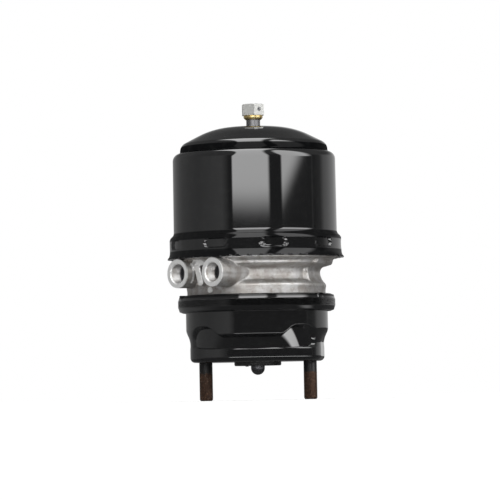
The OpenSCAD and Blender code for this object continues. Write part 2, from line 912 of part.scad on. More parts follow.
// Distance of the foot's outline from the axis, in the direction a
function foot_line(a) =
    let (
        u = abs(cos(a)),
        v = abs(sin(a)),
        x = foot_half_w - foot_corner_r,
        y = foot_half_d - foot_corner_r,
        p = x * u + y * v,
        q = x * x + y * y - foot_corner_r * foot_corner_r
    )
    u * y > 0 && foot_half_w * v <= y * u ? foot_half_w / u
    : v * x > 0 && foot_half_d * u <= x * v ? foot_half_d / v
    : p + sqrt(p * p - q);

// How much the direction a faces the front or the back, and how much a dent
function frontness(a) = smooth((atan2(abs(sin(a)), abs(cos(a))) - 20) / 30);
function dentness(a) =
    let (d = abs(atan2(abs(sin(a)), abs(cos(a))) - 45) / dent_half_angle)
    d < 1 ? smooth(cos(90 * d)) : 0;

// The smaller of two radii, with a soft change between them
function soft_min(a, b) = (a + b - sqrt(pow(a - b, 2) + 4)) / 2;

// Outer radius of the pot in the direction a at the height z
function pot_line(a, z) =
    let (
        f = frontness(a),
        d = dentness(a),
        low = side_low_z + f * (ledge_low_z - side_low_z) + d * (dent_rise - dent_lead / 2),
        high = side_high_z + f * (ledge_high_z - side_high_z) + d * (dent_rise - (1 - f) * dent_lead),
        foot = foot_line(a),
        wall = soft_min(foot, service_r) - band_groove * f - dent_depth * d,
        rounded = z < foot_edge_r
            ? foot_edge_r - sqrt(foot_edge_r * foot_edge_r - pow(foot_edge_r - z, 2)) : 0,
        below = foot - rounded + (wall - foot) * smooth((z - band_h + 1) / 5)
    )
    below + (service_r - below) * smooth((z - low) / (high - low));

pot_sides = 72;

// Heights of the rings of the pot: the rounded edge, the band, the groove, the ledge and the wall
function pot_heights(from, to) = concat(
    [from],
    [for (s = [0.12, 0.4, 1]) if (foot_edge_r * s > from + 1) foot_edge_r * s],
    [for (s = [-1, 1.5, 4, 8.6, 12, 16.1, 20, 24, 28, 32]) band_h + s],
    [to]
);

module pot(inset, from, to) {
    heights = pot_heights(from, to);
    rings = len(heights);
    corners = [
        for (z = heights)
            for (k = [0:pot_sides - 1])
                let (a = 360 * k / pot_sides, r = pot_line(a, z) - inset)
                [r * cos(a), r * sin(a), z]
    ];
    walls = [
        for (i = [0:rings - 2])
            for (k = [0:pot_sides - 1])
                let (m = (k + 1) % pot_sides)
                each [
                    [i * pot_sides + k, (i + 1) * pot_sides + m, i * pot_sides + m],
                    [i * pot_sides + k, (i + 1) * pot_sides + k, (i + 1) * pot_sides + m]
                ]
    ];
    ends = [
        [for (k = [0:pot_sides - 1]) k],
        [for (k = [pot_sides - 1:-1:0]) (rings - 1) * pot_sides + k]
    ];
    polyhedron(points = corners, faces = concat(walls, ends), convexity = 6);
}

module service_housing() {
    neck_bend = 2.5;
    neck = service_r - sheet_t / 2;
    color(black_paint) difference() {
        union() {
            difference() {
                pot(0, 0, bead_z);
                pot(sheet_t, sheet_t, bead_z + through);
            }
            rotate_extrude() polygon([
                [neck, bead_z],
                [flange_r, bead_z],
                [flange_r, clamp_z + flange_chamfer],
                [flange_r - flange_chamfer, clamp_z],
                [service_r + neck_bend, clamp_z],
                [service_r + neck_bend * 0.3, clamp_z - neck_bend * 0.3],
                [neck, clamp_z - neck_bend]
            ]);
        }
        foot_holes(0, seal_od + 2 * run_gap);
    }
}

// The holes for the studs and the push rod, through a plate that starts at z
module foot_holes(z, middle_d) {
    for (side = [-1, 1]) {
        translate([side * stud_spacing / 2, 0, z - through])
            cylinder(r = stud_shank_r, h = sheet_t + base_plate_t + 2 * through);
    }
    translate([0, 0, z - through])
        cylinder(d = middle_d, h = sheet_t + base_plate_t + 2 * through);
}

module base_plate() {
    plate_margin = 3;
    stud_margin = 9;
    plate_w = seal_od + 2 * plate_margin;
    plate_l = stud_spacing + 2 * stud_margin;
    color(steel) difference() {
        translate([0, 0, sheet_t]) linear_extrude(base_plate_t) oblong(plate_l, plate_w);
        foot_holes(sheet_t, foot_hole_d);
    }
}

// The studs are pressed into the foot with a shank that is a little thicker than the thread
stud_shank_r = stud_d / 2 + 0.2;

module stud(side) {
    tip_chamfer = 1.5;
    r = stud_d / 2;
    head_z = sheet_t + base_plate_t;
    color(rusty) translate([side * stud_spacing / 2, 0, 0]) rotate_extrude() polygon([
        [0, -stud_length],
        [r - tip_chamfer, -stud_length],
        [r, -stud_length + tip_chamfer],
        [r, 0],
        [stud_shank_r, 0],
        [stud_shank_r, head_z],
        [stud_head_d / 2, head_z],
        [stud_head_d / 2, head_z + stud_head_h - 1],
        [stud_head_d / 2 - 1, head_z + stud_head_h],
        [0, head_z + stud_head_h]
    ]);
}

module stud_left() {
    stud(-1);
}

module stud_right() {
    stud(1);
}

// Bellows between the foot and the push rod
gaiter_flange = 6;
gaiter_flange_r = foot_hole_d / 2 + gaiter_flange;
gaiter_t = 1.5;
gaiter_lip_t = 2;
gaiter_z = sheet_t + base_plate_t;

module gaiter() {
    folds = 7;
    low_z = gaiter_z + gaiter_lip_t;
    sleeve_h = 6;
    high_z = plate_under_z - sleeve_h - 2;
    inner_low = foot_hole_d / 2 - 3;
    inner_high = rod_d / 2 + 1;
    fold_depth = 4;
    function fold(i) =
        let (u = i / (2 * folds))
        [
            inner_low + (inner_high - inner_low) * u + (i % 2) * fold_depth,
            low_z + 2 + (high_z - low_z - 2) * u
        ];
    zigzag = [for (i = [0:2 * folds]) fold(i)];
    color(rubber) rotate_extrude() polygon(concat(
        [[inner_low, gaiter_z]],
        zigzag,
        [
            [rod_d / 2 + fit_gap, high_z + 1],
            [rod_d / 2 + fit_gap, high_z + sleeve_h],
            [rod_d / 2 + 3, high_z + sleeve_h],
            [rod_d / 2 + 3, high_z + 1]
        ],
        back([for (p = zigzag) p + [gaiter_t, 0]]),
        [
            [inner_low + gaiter_t, low_z],
            [gaiter_flange_r, low_z],
            [gaiter_flange_r, gaiter_z]
        ]
    ));
}

module gaiter_ring() {
    color(steel)
        ring(gaiter_flange_r, foot_hole_d / 2 + 2, gaiter_z + gaiter_lip_t, 2);
}

module seal_ring() {
    inner_r = foot_hole_d / 2 - 4;
    lip_h = 1;
    nib_turn = 26;
    nib_r = 1.8;
    color(rubber) {
        rotate_extrude() polygon([
            [inner_r, -seal_depth + lip_h],
            [seal_od / 2 - 1, -seal_depth],
            [seal_od / 2, -seal_depth + 1],
            [seal_od / 2, sheet_t - face_gap],
            [foot_hole_d / 2 - run_gap, sheet_t - face_gap],
            [foot_hole_d / 2 - run_gap, sheet_t + base_plate_t],
            [inner_r, sheet_t + base_plate_t]
        ]);
        rotate(-nib_turn) translate([0, -seal_od / 2 + 2 * nib_r, -seal_depth - nib_r + 0.8])
            cylinder(r = nib_r, h = nib_r + lip_h);
    }
}

spring_housing();
spindle_bush();
bush_seal();
release_spindle();
thrust_washer();
nut_collar();
release_nut();
nut_pin();
travel_nut();
power_spring();
piston();
piston_seal();
piston_guide();
piston_tube();
tube_pad();
tube_ring();
housing_seal();
flange_body();
tube_bush();
tube_seal();
bush_clip();
passage_plug();
diaphragm();
pressure_plate();
push_rod();
return_spring();
clamp_ring();
service_housing();
base_plate();
stud_left();
stud_right();
gaiter();
gaiter_ring();
seal_ring();
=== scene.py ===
import json
import math

import bmesh
import bpy
from mathutils import Matrix, Vector


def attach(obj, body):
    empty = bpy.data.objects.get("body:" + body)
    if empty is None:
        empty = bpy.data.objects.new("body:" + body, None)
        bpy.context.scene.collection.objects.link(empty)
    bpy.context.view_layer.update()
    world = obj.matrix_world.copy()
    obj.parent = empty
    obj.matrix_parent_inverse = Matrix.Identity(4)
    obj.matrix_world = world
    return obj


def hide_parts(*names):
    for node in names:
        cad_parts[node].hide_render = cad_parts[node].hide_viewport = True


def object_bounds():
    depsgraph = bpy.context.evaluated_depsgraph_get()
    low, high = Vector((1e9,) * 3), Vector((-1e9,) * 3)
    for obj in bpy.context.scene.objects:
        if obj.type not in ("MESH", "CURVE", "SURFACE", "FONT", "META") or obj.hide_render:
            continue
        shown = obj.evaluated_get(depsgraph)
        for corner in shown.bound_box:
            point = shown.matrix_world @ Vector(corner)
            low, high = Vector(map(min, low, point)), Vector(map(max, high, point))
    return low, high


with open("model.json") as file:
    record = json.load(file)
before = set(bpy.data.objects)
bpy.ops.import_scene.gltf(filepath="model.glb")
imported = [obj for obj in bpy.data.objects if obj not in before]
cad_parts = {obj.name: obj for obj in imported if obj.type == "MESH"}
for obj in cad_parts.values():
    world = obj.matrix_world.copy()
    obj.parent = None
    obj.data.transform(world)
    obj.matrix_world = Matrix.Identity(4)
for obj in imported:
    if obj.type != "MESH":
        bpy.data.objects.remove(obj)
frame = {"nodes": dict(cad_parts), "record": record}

MM = 0.001
cad_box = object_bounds()
scene = bpy.context.scene

# Driving dimensions in millimetres, as in the part's own frame: Z along the axis, -Y the front
STUD_SPACING = 120.65
STUD_R = 8.0
STUD_LENGTH = 44.0
STUD_HEAD_R = 11.0
STUD_HEAD_H = 6.0
BASE_PLATE_T = 4.0
THREAD_PITCH = 1.5
STUD_THREAD_DEPTH = 0.75
SEAL_R = 27.0
SHEET = 3.0
SERVICE_R = 81.7
FOOT_HALF_W = 75.325
FOOT_HALF_D = 63.0
FOOT_BULGE = 1.5
FOOT_FRONT_R = 130.0
FOOT_CORNER_R = 36.0
FOOT_EDGE_R = 5.5
BAND_H = 15.4
BAND_GROOVE = 3.2
DENT_RISE = 10.5
DENT_DEPTH = 4.0
DENT_HALF_TURN = 18.5
CLAMP_Z = 60.2
CLAMP_R = 93.5
CLAMP_LIP = 6.0
CLAMP_SHOULDER = 4.5
CLAMP_NOTCHES = (-69, 60, 175)
CLAMP_NOTCH_HALF_TURN = 3.4
BEAD_T = 5.3
STROKE = 57.0
FLANGE_T = 5.3
LOWER_H = 25.0
WAIST_H = 24.5
NECK_R = 79.6
BODY_BEAD_R = 80.4
WAIST_R = 73.6
PORT_TURN = 39.5
PORT_SPACING = 57.0
PORT_REACH = 98.0
PORT_BOSS_R = 16.5
PORT_BORE_R = 10.2
PORT_DEPTH = 15.0
PORT_THREAD_DEPTH = 0.9
PORT_THREAD_TURNS = 8
AIR_HOLE_R = 4.2
PLUG_R = 3.5
PLUG_TURN = 35.0
RIBS = 8
RIB_T = 5.0
GROOVE_DEPTH = 2.2
CAVITY_MOUTH_R = 78.0
POCKET_R = 66.0
POCKET_DEPTH = 20.0
RIM_BORE_R = 91.0
TUBE_HOLE_R = 20.6
BUSH_R = 24.0
CLIP_R = 25.5
CYLINDER_R = 94.0
TOP_R = 93.65
SKIRT_R = 98.9
CROWN_R = 85.0
DIMPLES = 9
DIMPLE_TURN = 18.2
DIMPLE_L = 28.5
DIMPLE_H = 10.0
DIMPLE_DEPTH = 2.2
LIP_NOTCHES = 54
LIP_NOTCH_H = 0.9
LIP_TRIM = 0.06
SPINDLE_R = 8.0

# Heights that follow from them
BEAD_Z = CLAMP_Z + SHEET
BODY_Z = BEAD_Z + BEAD_T
RING_Z = BODY_Z + FLANGE_T
WAIST_Z = BODY_Z + LOWER_H
FLOOR_Z = WAIST_Z + WAIST_H
LIP_Z = FLOOR_Z + 0.7
CROWN_Z = FLOOR_Z + 1 + STROKE + 8 + 4.25 * 12.5 + 33.3
RIM_R = SKIRT_R - SHEET - 0.3
PORT_Z = FLOOR_Z - 16.5
PLUG_Z = FLOOR_Z - 36
DIMPLE_Z = FLOOR_Z + 16.5
RIM_TOP_Z = FLOOR_Z + 26
ROOF_Z = FLOOR_Z - 26
CAVITY_R = NECK_R - 5.6
HUB_R = 32.0
PAD_X = -5.0
PAD_REACH = 88.0
PAD_L = 30.0
PAD_W = 8.5
PAD_TILT = 107.0
PIP_R = 1.7
PIP_OUT = 10.8
CLAMPED_R = CLAMP_R - SHEET - 0.3
CLAMP_CHAMFER = CLAMP_SHOULDER - SHEET * (2 - math.sqrt(2))


# ---- Materials ----

class Value:
    """A socket in a node tree that can be added, multiplied and compared like a number."""

    def __init__(self, finish, socket):
        self.finish = finish
        self.socket = socket

    def sum(self, operation, first, second):
        return self.finish.node("ShaderNodeMath", {"operation": operation}, {0: first, 1: second})

    def __add__(self, other):
        return self.sum("ADD", self, other)

    def __radd__(self, other):
        return self.sum("ADD", other, self)

    def __sub__(self, other):
        return self.sum("SUBTRACT", self, other)

    def __rsub__(self, other):
        return self.sum("SUBTRACT", other, self)

    def __mul__(self, other):
        return self.sum("MULTIPLY", self, other)

    def __rmul__(self, other):
        return self.sum("MULTIPLY", other, self)

    def __truediv__(self, other):
        return self.sum("DIVIDE", self, other)

    def __rtruediv__(self, other):
        return self.sum("DIVIDE", other, self)

    def __neg__(self):
        return self.sum("SUBTRACT", 0.0, self)

    def __pow__(self, other):
        return self.sum("POWER", self, other)

    def part(self, axis):
        return self.finish.node("ShaderNodeSeparateXYZ", {}, {0: self}, output=axis)

    def between(self, low, high, to_low=0.0, to_high=1.0):
        """Goes smoothly from to_low to to_high while this value goes from low to high."""
        return self.finish.node(
            "ShaderNodeMapRange", {"interpolation_type": "SMOOTHSTEP"},
            {"Value": self, "From Min": low, "From Max": high,
             "To Min": to_low, "To Max": to_high})


class Finish:
    """A node tree that is written as expressions: a surface's or the world's."""

    def __init__(self, name, tree_owner=None):
        self.owner = tree_owner or bpy.data.materials.new(name)
        self.owner.use_nodes = True
        self.tree = self.owner.node_tree
        self.shader = self.tree.nodes.get("Principled BSDF")

    def node(self, kind, settings, inputs, output=0):
        made = self.tree.nodes.new(kind)
        for name, setting in settings.items():
            if name == "stops":
                self.set_stops(made.color_ramp, setting)
            else:
                setattr(made, name, setting)
        for name, value in inputs.items():
            self.feed(made.inputs[name], value)
        return Value(self, made.outputs[output])

    def set_stops(self, ramp, stops):
        while len(ramp.elements) < len(stops):
            ramp.elements.new(0.5)
        for element, (place, colour) in zip(ramp.elements, stops):
            element.position = place
            element.color = (*colour, 1.0)

    def feed(self, socket, value):
        if isinstance(value, Value):
            self.tree.links.new(value.socket, socket)
        elif socket.type == "RGBA" and len(value) == 3:
            socket.default_value = (*value, 1.0)
        else:
            socket.default_value = value

    def set(self, **sockets):
        for name, value in sockets.items():
            self.feed(self.shader.inputs[name.replace("_", " ")], value)

    def place(self):
        """The place on the piece, in metres of the part's frame."""
        return self.node("ShaderNodeTexCoord", {}, {}, output="Object")

    def noise(self, size_mm, detail=3.0, roughness=0.55, stretch=None):
        """Noise from 0 to 1 with spots about size_mm wide."""
        at = self.place()
        if stretch:
            at = self.node("ShaderNodeVectorMath", {"operation": "MULTIPLY"}, {0: at, 1: stretch})
        return self.node(
            "ShaderNodeTexNoise", {"noise_dimensions": "3D"},
            {"Vector": at, "Scale": 1 / (size_mm * MM), "Detail": detail, "Roughness": roughness})

    def grains(self, size_mm):
        """Distance from the middle of the nearest grain, from 0 to about 1."""
        return self.node(
            "ShaderNodeTexVoronoi", {"feature": "F1"},
            {"Vector": self.place(), "Scale": 1 / (size_mm * MM)})

    def mix(self, amount, first, second):
        return self.node(
            "ShaderNodeMix", {"data_type": "RGBA"},
            {0: amount, 6: first, 7: second}, output=2)

    def bump(self, height, depth_mm):
        return self.node(
            "ShaderNodeBump", {},
            {"Height": height, "Distance": depth_mm * MM, "Strength": 1.0})

    def bearing(self, across, along):
        """The angle, in degrees, of the direction whose parts are across and along."""
        turn = self.node("ShaderNodeMath", {"operation": "ARCTAN2"}, {0: across, 1: along})
        return turn * math.degrees(1)

    def around(self):
        """Distance from the part's axis, in metres."""
        at = self.place()
        return (at.part(0) ** 2.0 + at.part(1) ** 2.0) ** 0.5


# Heights between which the black paint is rubbed or dusty, and how much of its gloss is lost
DULL_BANDS = ((241, 248, 0.95), (140, 148, 0.75), (119.5, 127, 0.75), (74, 77, 0.7))


def black_paint():
    f = Finish("gloss_black_paint")
    dust = f.noise(9.0, 5.0).between(0.45, 0.8)
    peel = f.noise(2.4, 1.0) + f.noise(0.5, 1.0) * 0.15
    height = f.place().part(2) * (1 / MM)
    dull = 0.0
    for low, high, amount in DULL_BANDS:
        band = height.between(low - 1, low) * height.between(high, high + 1, 1.0, 0.0)
        dull = band * amount + dull
    f.set(Base_Color=f.mix(dust, (0.0040, 0.0042, 0.0046), (0.0085, 0.0088, 0.0090)),
          Roughness=0.34 + dust * 0.12,
          Specular_IOR_Level=0.0, Coat_Weight=1 - dull, Coat_Roughness=0.03, Coat_IOR=1.8,
          Normal=f.bump(peel, 0.004))
    return f


def cast_aluminium():
    f = Finish("die_cast_aluminium")
    cloud = f.noise(11.0, 4.0)
    fine = f.noise(0.7, 3.0)
    grain = f.grains(0.9)
    stain = f.noise(6.0, 5.0, 0.65).between(0.50, 0.72)
    tone = f.mix(cloud.between(0.35, 0.65), (0.35, 0.33, 0.31), (0.50, 0.495, 0.49))
    f.set(Base_Color=f.mix(stain * 0.55, tone, (0.22, 0.19, 0.165)),
          Metallic=0.80,
          Roughness=0.40 + stain * 0.14 + fine * 0.10,
          Normal=f.bump(fine * 0.7 + grain * 0.3, 0.10))
    return f


def machined_aluminium():
    f = Finish("machined_aluminium")
    cloud = f.noise(3.0, 3.0)
    f.set(Base_Color=f.mix(cloud, (0.66, 0.66, 0.65), (0.78, 0.78, 0.77)),
          Metallic=0.5,
          Roughness=0.36 + cloud * 0.10,
          Normal=f.bump(f.noise(0.35, 2.0), 0.015))
    return f


def white_zinc():
    f = Finish("white_zinc_plate")
    cloud = f.noise(4.0, 4.0)
    spots = f.noise(1.2, 3.0).between(0.55, 0.75)
    f.set(Base_Color=f.mix(cloud, (0.55, 0.55, 0.53), (0.68, 0.68, 0.66)),
          Metallic=0.55,
          Roughness=0.42 + spots * 0.14,
          Normal=f.bump(f.noise(0.6, 3.0), 0.03))
    return f


def yellow_zinc():
    f = Finish("yellow_zinc_plate")
    cloud = f.noise(5.0, 3.0)
    tone = f.node("ShaderNodeValToRGB", {"stops": [
        (0.30, (0.62, 0.42, 0.16)), (0.50, (0.70, 0.55, 0.24)), (0.70, (0.62, 0.56, 0.34))]},
        {0: cloud})
    f.set(Base_Color=tone, Metallic=0.9, Roughness=0.27 + f.noise(1.0) * 0.12,
          Normal=f.bump(f.noise(0.5, 3.0), 0.02))
    return f


def turned_steel(name, dark, light, rough):
    """Turned steel: fine rings that run round the axis."""
    f = Finish(name)
    rings = f.noise(1.6, 3.0, stretch=(0.02, 0.02, 4.0))
    cloud = f.noise(7.0, 4.0)
    f.set(Base_Color=f.mix(cloud * 0.6 + rings * 0.4, dark, light),
          Metallic=0.95,
          Roughness=rough + cloud * 0.12,
          Normal=f.bump(rings, 0.02))
    return f


def rusty_stud():
    f = Finish("brown_phosphate_stud")
    at = f.place()
    rust = f.noise(3.5, 6.0, 0.7)
    speck = f.noise(0.8, 4.0, 0.7)
    bare = f.noise(1.6, 4.0).between(0.56, 0.70)
    brown = f.node("ShaderNodeValToRGB", {"stops": [
        (0.30, (0.018, 0.011, 0.008)), (0.48, (0.045, 0.024, 0.015)),
        (0.60, (0.085, 0.045, 0.027)), (0.75, (0.150, 0.088, 0.056))]},
        {0: rust * 0.65 + speck * 0.35})
    worn = f.mix(bare * 0.5, brown, (0.17, 0.13, 0.11))
    edge = (f.noise(2.2, 3.0) - 0.5) * 0.006
    painted = (at.part(2) + edge).between(-0.0135, -0.0115)
    f.set(Base_Color=f.mix(painted, worn, (0.010, 0.010, 0.010)),
          Metallic=0.45 * (1 - painted),
          Roughness=0.52 - painted * 0.24 + speck * 0.12, Specular_IOR_Level=0.25,
          Normal=f.bump(rust * 0.5 + speck * 0.5, 0.10))
    return f


def rubber(name, tone):
    f = Finish(name)
    cloud = f.noise(6.0, 4.0)
    f.set(Base_Color=f.mix(cloud, tone, tuple(1.8 * c + 0.004 for c in tone)),
          Roughness=0.42 + cloud * 0.16,
          Normal=f.bump(f.noise(0.4, 3.0), 0.03))
    return f


def coated_spring():
    f = Finish("coated_spring_wire")
    cloud = f.noise(5.0, 4.0)
    f.set(Base_Color=f.mix(cloud, (0.035, 0.036, 0.040), (0.065, 0.066, 0.070)),
          Metallic=0.3, Roughness=0.34 + cloud * 0.14,
          Normal=f.bump(f.noise(0.8, 3.0), 0.05))
    return f


def moulded_plastic():
    f = Finish("moulded_guide_plastic")
    cloud = f.noise(8.0, 3.0)
    f.set(Base_Color=f.mix(cloud, (0.60, 0.57, 0.47), (0.70, 0.67, 0.58)),
          Roughness=0.44 + cloud * 0.1, Subsurface_Weight=0.05,
          Normal=f.bump(f.noise(0.5, 2.0), 0.02))
    return f


FINISHES = {
    "black_paint": black_paint(),
    "cast_aluminium": cast_aluminium(),
    "machined_aluminium": machined_aluminium(),
    "zinc_plate": white_zinc(),
    "yellow_zinc": yellow_zinc(),
    "steel": turned_steel(
        "grey_turned_steel", (0.17, 0.17, 0.175), (0.27, 0.27, 0.275), 0.42),
    "dark_steel": turned_steel(
        "oiled_push_rod_steel", (0.10, 0.10, 0.11), (0.17, 0.17, 0.18), 0.26),
    "stud_steel": rusty_stud(),
    "spring_steel": coated_spring(),
    "rubber": rubber("black_moulded_rubber", (0.010, 0.010, 0.010)),
    "guide_plastic": moulded_plastic(),
}


# ---- Mesh tools ----

def arc(centre, radius, start, end, steps):
    """Points on a round stretch of an outline; the angles are in degrees."""
    turns = [math.radians(start + (end - start) * i / steps) for i in range(steps + 1)]
    return [(centre[0] + radius * math.cos(a), centre[1] + radius * math.sin(a)) for a in turns]


def rounded(points, steps=5):
    """An outline whose corners (r, z, radius) are rounded off; a plain corner is (r, z)."""
    line = []
    count = len(points)
    for i, point in enumerate(points):
        here = Vector(point[:2])
        radius = point[2] if len(point) > 2 else 0
        if not radius:
            line.append(tuple(here))
            continue
        before = (Vector(points[i - 1][:2]) - here).normalized()
        after = (Vector(points[(i + 1) % count][:2]) - here).normalized()
        half = before.angle(after) / 2
        reach = radius / math.tan(half)
        middle = here + (before + after).normalized() * radius / math.sin(half)
        first = here + before * reach - middle
        last = here + after * reach - middle
        for k in range(steps + 1):
            line.append(tuple(middle + first.slerp(last, k / steps)))
    return line


def steady(outline, step=0.7):
    """The outline with points near both ends of its long stretches, so that they shade flat."""
    line = []
    for (r0, z0), (r1, z1) in zip(outline, outline[1:] + outline[:1]):
        line.append((r0, z0))
        length = math.hypot(r1 - r0, z1 - z0)
        if length > 3 * step:
            for k in (step / length, 1 - step / length):
                line.append((r0 + (r1 - r0) * k, z0 + (z1 - z0) * k))
    return line


def smooth(x):
    u = max(0.0, min(1.0, x))
    return u * u * (3 - 2 * u)


def skin(rings, closed=True):
    """Faces between rings of as many points each; closed joins the last ring to the first."""
    size = len(rings[0])
    faces = []
    for i in range(len(rings) - (0 if closed else 1)):
        low = i * size
        high = (i + 1) % len(rings) * size
        for k in range(size):
            m = (k + 1) % size
            faces.append((low + k, low + m, high + m, high + k))
    return [p for ring in rings for p in ring], faces


def lathe(outline, segments, shape=None):
    """Turns an outline (r, z) round the axis; shape(angle, r, z) may move its points.

    The outline is closed, unless it starts and ends on the axis.
    """
    rings = []
    for r, z in outline:
        ring = []
        for k in range(segments):
            a = 2 * math.pi * k / segments
            rr, zz = shape(a, r, z) if shape else (r, z)
            ring.append((rr * math.cos(a), rr * math.sin(a), zz))
        rings.append(ring)
    return skin(rings, closed=outline[0][0] > 0 or outline[-1][0] > 0)


def to_mesh(name, points, faces, sharp=35):
    """A mesh in metres from points in millimetres, with its normals out."""
    mesh = bpy.data.meshes.new(name)
    mesh.from_pydata([(x * MM, y * MM, z * MM) for x, y, z in points], [], faces)
    made = bmesh.new()
    made.from_mesh(mesh)
    bmesh.ops.remove_doubles(made, verts=made.verts, dist=1e-7)
    bmesh.ops.dissolve_degenerate(made, edges=made.edges, dist=1e-7)
    bmesh.ops.recalc_face_normals(made, faces=made.faces)
    made.to_mesh(mesh)
    made.free()
    shade(mesh, sharp)
    return mesh


def shade(mesh, sharp):
    mesh.shade_smooth()
    mesh.set_sharp_from_angle(angle=math.radians(sharp))


def piece(name, mesh, finish, body="chamber", stands_for=()):
    """A new visible piece: it rides on a body and has a finish and a material slot."""
    made = bpy.data.objects.new(name, mesh)
    scene.collection.objects.link(made)
    mesh.materials.clear()
    mesh.materials.append(FINISHES[finish].owner)
    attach(made, body)
    if stands_for:
        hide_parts(*stands_for)
    return made


def turned(outline, segments=128, shape=None, sharp=35, name="turned"):
    return to_mesh(name, *lathe(outline, segments, shape), sharp)


def rows(low, high, step):
    count = max(1, round((high - low) / step))
    return [low + (high - low) * i / count for i in range(count + 1)]


def moved(points, matrix):
    return [tuple(matrix @ Vector(p)) for p in points]


def joined(*solids):
    """Several closed solids (points, faces) in one list of points and faces."""
    points, faces = [], []
    for some_points, some_faces in solids:
        faces += [tuple(i + len(points) for i in face) for face in some_faces]
        points += some_points
    return points, faces


def slab(outline, height):
    """A flat solid: the outline (x, y) raised from 0 to height."""
    rings = [[(x, y, z) for x, y in outline] for z in (0, height)]
    points, faces = skin(rings, closed=False)
    count = len(outline)
    return points, faces + [tuple(range(count))[::-1], tuple(range(count, 2 * count))]


def oblong(length, width, tilt, steps=10):
    half = (length - width) / 2
    ends = arc((half, 0), width / 2, -90, 90, steps) + arc((-half, 0), width / 2, 90, 270, steps)
    c, s = math.cos(math.radians(tilt)), math.sin(math.radians(tilt))
    return [(x * c - y * s, x * s + y * c) for x, y in ends]


def finely(outline, step):
    """The same outline with points added, so that no stretch is longer than step."""
    line = []
    for (r0, z0), (r1, z1) in zip(outline, outline[1:] + outline[:1]):
        count = max(1, math.ceil(math.hypot(r1 - r0, z1 - z0) / step))
        line += [(r0 + (r1 - r0) * i / count, z0 + (z1 - z0) * i / count) for i in range(count)]
    return line


def settled(name, mesh, modifiers):
    """The mesh after a list of modifiers: (type, settings)."""
    maker = bpy.data.objects.new(name + "_maker", mesh)
    scene.collection.objects.link(maker)
    for kind, settings in modifiers:
        modifier = maker.modifiers.new(kind.lower(), kind)
        for key, value in settings.items():
            setattr(modifier, key, value)
    shown = maker.evaluated_get(bpy.context.evaluated_depsgraph_get())
    made = bpy.data.meshes.new_from_object(shown)
    made.name = name
    bpy.data.objects.remove(maker)
    return made


def cutter(name, solid):
    made = bpy.data.objects.new(name, to_mesh(name, *solid))
    scene.collection.objects.link(made)
    return made


# ---- Spring housing ----

def notch(a):
    """Whether the lip's edge is cut back at the angle a: 1 or 0."""
    share = (a * LIP_NOTCHES / (2 * math.pi)) % 1
    return 1.0 if share > 0.7 else 0.0


def dimple(a, r, z):
    """Depth of the pressed locking dimples at a place on the skirt."""
    pitch = 360 / DIMPLES
    turn = (math.degrees(a) + 90 - DIMPLE_TURN + pitch / 2) % pitch - pitch / 2
    along = math.radians(turn) * SKIRT_R
    middle = max(abs(along) - (DIMPLE_L - DIMPLE_H) / 2, 0)
    out = math.hypot(middle, z - DIMPLE_Z) - DIMPLE_H / 2
    return DIMPLE_DEPTH * smooth((0.7 - out) / 1.4)


def housing_line(d, fine):
    """The housing's sheet from the lip to the crown, d inside its outer face.

    Each arc gets a number of steps times fine.
    """
    bend_r, bend_z = 14.0, LIP_Z + 8.3
    flare_h = 10.0
    flare_z = RIM_TOP_Z - 4.3
    turn = 2 * math.degrees(math.atan((SKIRT_R - CYLINDER_R) / flare_h))
    flare_r = flare_h / (2 * math.sin(math.radians(turn)))
    knee_r, knee_turn, knee_z = 8.95, 75.0, CROWN_Z - 38.4
    fall = 1 - math.cos(math.radians(knee_turn))
    notch_r = (TOP_R - knee_r * fall - CROWN_R) / fall
    notch_z = knee_z + (knee_r + notch_r) * math.sin(math.radians(knee_turn))
    slope, flat_r, dome_r, corner_r = 27.0, 23.0, 90.0, 10.4
    tilt = math.radians(slope)
    cone_r = flat_r + dome_r * math.sin(tilt)
    cone_z = CROWN_Z - dome_r * (1 - math.cos(tilt))
    corner_x = CROWN_R - corner_r
    fall_r = corner_x + corner_r * math.sin(tilt) - cone_r
    corner_z = cone_z - corner_r * math.cos(tilt) - fall_r * math.tan(tilt)
    start = 180 + math.degrees(math.asin((bend_z - LIP_Z) / (bend_r + d)))
    step = 0.55 if fine > 1 else 4
    skirt_rows = [(SKIRT_R - d, z) for z in rows(bend_z + 0.4, flare_z - 0.4, step)]
    return (
        arc((SKIRT_R + bend_r, bend_z), bend_r + d, start, 180, 8 * fine)
        + skirt_rows
        + arc((SKIRT_R - flare_r, flare_z), flare_r - d, 0, turn, 8 * fine)
        + arc((CYLINDER_R + flare_r, flare_z + flare_h), flare_r + d, 180 + turn, 180, 6 * fine)
        + arc((TOP_R - knee_r, knee_z), knee_r - d, 0, knee_turn, 9 * fine)
        + arc((CROWN_R + notch_r, notch_z), notch_r + d, 180 + knee_turn, 180, 5 * fine)
        + arc((corner_x, corner_z), corner_r - d, 0, 90 - slope, 8 * fine)
        + arc((flat_r, CROWN_Z - dome_r), dome_r - d, 90 - slope, 90, 7 * fine)
        + [(SPINDLE_R + 0.6, CROWN_Z - d)])


def spring_housing():
    def shape(a, r, z):
        if z < LIP_Z + 1.5 and r > SKIRT_R + 0.5:
            return r - LIP_TRIM, z + LIP_NOTCH_H * notch(a)
        if abs(z - DIMPLE_Z) > DIMPLE_H:
            return r, z
        return r - dimple(a, r, z), z
    outline = steady(housing_line(0, 2) + housing_line(SHEET, 1)[::-1])
    piece("spring_housing_pot", turned(outline, 42 * DIMPLES, shape, name="spring_housing_pot"),
          "black_paint", stands_for=["spring_housing"])


# ---- Service housing ----

